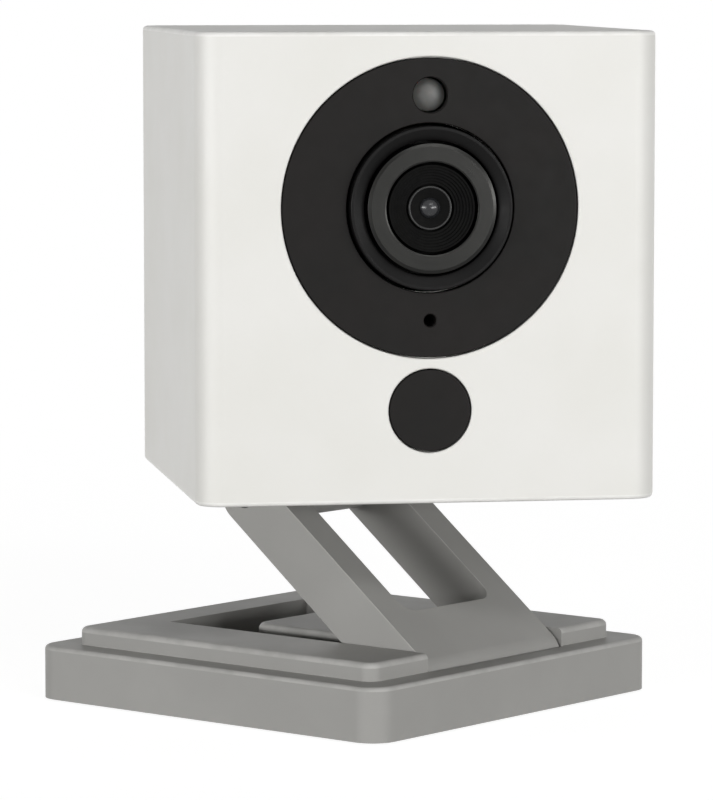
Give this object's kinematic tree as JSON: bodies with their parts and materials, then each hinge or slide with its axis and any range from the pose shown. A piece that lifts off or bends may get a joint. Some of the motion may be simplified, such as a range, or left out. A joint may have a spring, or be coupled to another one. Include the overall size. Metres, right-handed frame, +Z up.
{
  "type": "security camera",
  "caption": "Cube-shaped indoor camera head on a folding stand: the head turns on a turntable hinged to a flat arm, which folds into a recess in a square base.",
  "frame": {"origin": "middle of the foot pad's underside, on the surface that the camera stands on", "axes": "+Z up; +X from the base's middle towards the hinge at the base; the base's sides lie along X and Y, and both hinge axes lie along Y"},
  "size_m": [0.0684, 0.0683, 0.0757],
  "materials": {
    "housing_white": "smooth satin moulded white plastic",
    "cover_white": "smooth satin moulded white plastic",
    "panel_black": "smooth near-black acrylic",
    "window_black": "smooth near-black acrylic that passes infrared light",
    "surround_black": "fine satin black",
    "bezel_grey": "dark grey anodised, turned",
    "optic_black": "flat black inside the lens",
    "lens_glass": "coated optical glass",
    "frosted_lens": "frosted light guide",
    "stand_grey": "smooth satin mid-grey moulded plastic",
    "steel": "bright zinc-plated steel",
    "nickel": "dull nickel plate",
    "board_green": "solder-masked glass laminate",
    "chip_black": "moulded epoxy package",
    "heat_sink": "extruded, plain",
    "pad_rubber": "soft matt sheet",
    "film_amber": "polyimide film",
    "filter_glass": "thin coated glass"
  },
  "bodies": {
    "base": {"base_shell": "stand_grey", "foot_pad": "pad_rubber", "base_plate": "steel", "magnet_housing": "stand_grey", "base_magnet": "nickel", "lower_pin": "steel", "pin_keeper_left": "stand_grey", "pin_keeper_right": "stand_grey"},
    "arm": {"arm": "stand_grey", "upper_pin": "steel"},
    "turntable": {"turntable": "stand_grey", "swivel_washer": "steel", "swivel_screw": "steel"},
    "head": {"housing_shell": "housing_white", "rear_cover": "cover_white", "face_disc": "panel_black", "ir_window": "window_black", "lens_surround": "surround_black", "lens_bezel": "bezel_grey", "lens_baffle": "optic_black", "front_lens": "lens_glass", "lens_barrel": "optic_black", "aperture_stop": "optic_black", "rear_lens": "lens_glass", "lens_holder": "optic_black", "filter_coil": "chip_black", "sensor_board": "board_green", "board_screw_1": "steel", "board_screw_2": "steel", "board_screw_3": "steel", "board_screw_4": "steel", "image_sensor": "chip_black", "light_pipe": "frosted_lens", "light_sensor": "chip_black", "microphone": "nickel", "microphone_boot": "pad_rubber", "infrared_board": "board_green", "infrared_led_1": "frosted_lens", "infrared_led_2": "frosted_lens", "infrared_led_3": "frosted_lens", "infrared_led_4": "frosted_lens", "main_board": "board_green", "processor": "chip_black", "heat_spreader": "heat_sink", "wifi_module": "nickel", "antenna": "film_amber", "ribbon_cable": "film_amber", "usb_a_socket": "nickel", "micro_usb_socket": "nickel", "card_socket": "nickel", "status_light": "frosted_lens", "setup_switch": "chip_black", "speaker": "optic_black", "speaker_gasket": "pad_rubber"},
    "setup_button": {"setup_button": "stand_grey"},
    "filter": {"filter_carriage": "optic_black", "infrared_block_pane": "filter_glass", "clear_pane": "filter_glass"}
  },
  "joints": [
    {"name": "base_hinge", "type": "hinge", "parent": "base", "child": "arm", "pos_m": [0.0185, 0, 0.00495], "axis": [0, 1, 0], "range_deg": [-10, 30]},
    {"name": "top_hinge", "type": "hinge", "parent": "arm", "child": "turntable", "pos_m": [-0.00504, 0, 0.02354], "axis": [0, -1, 0], "range_deg": [-15, 30]},
    {"name": "swivel", "type": "hinge", "parent": "turntable", "child": "head", "pos_m": [0.00646, 0, 0.02529], "axis": [0, 0, 1], "continuous": true},
    {"name": "setup_button_travel", "type": "slide", "parent": "head", "child": "setup_button", "axis": [0, 0, 1], "range_m": [0, 0.0006], "stiffness_N_per_m": 800, "springref_m": -0.0004},
    {"name": "filter_slide", "type": "slide", "parent": "head", "child": "filter", "axis": [-0.6555, -0.7552, 0], "range_m": [0, 0.0082]}
  ]
}
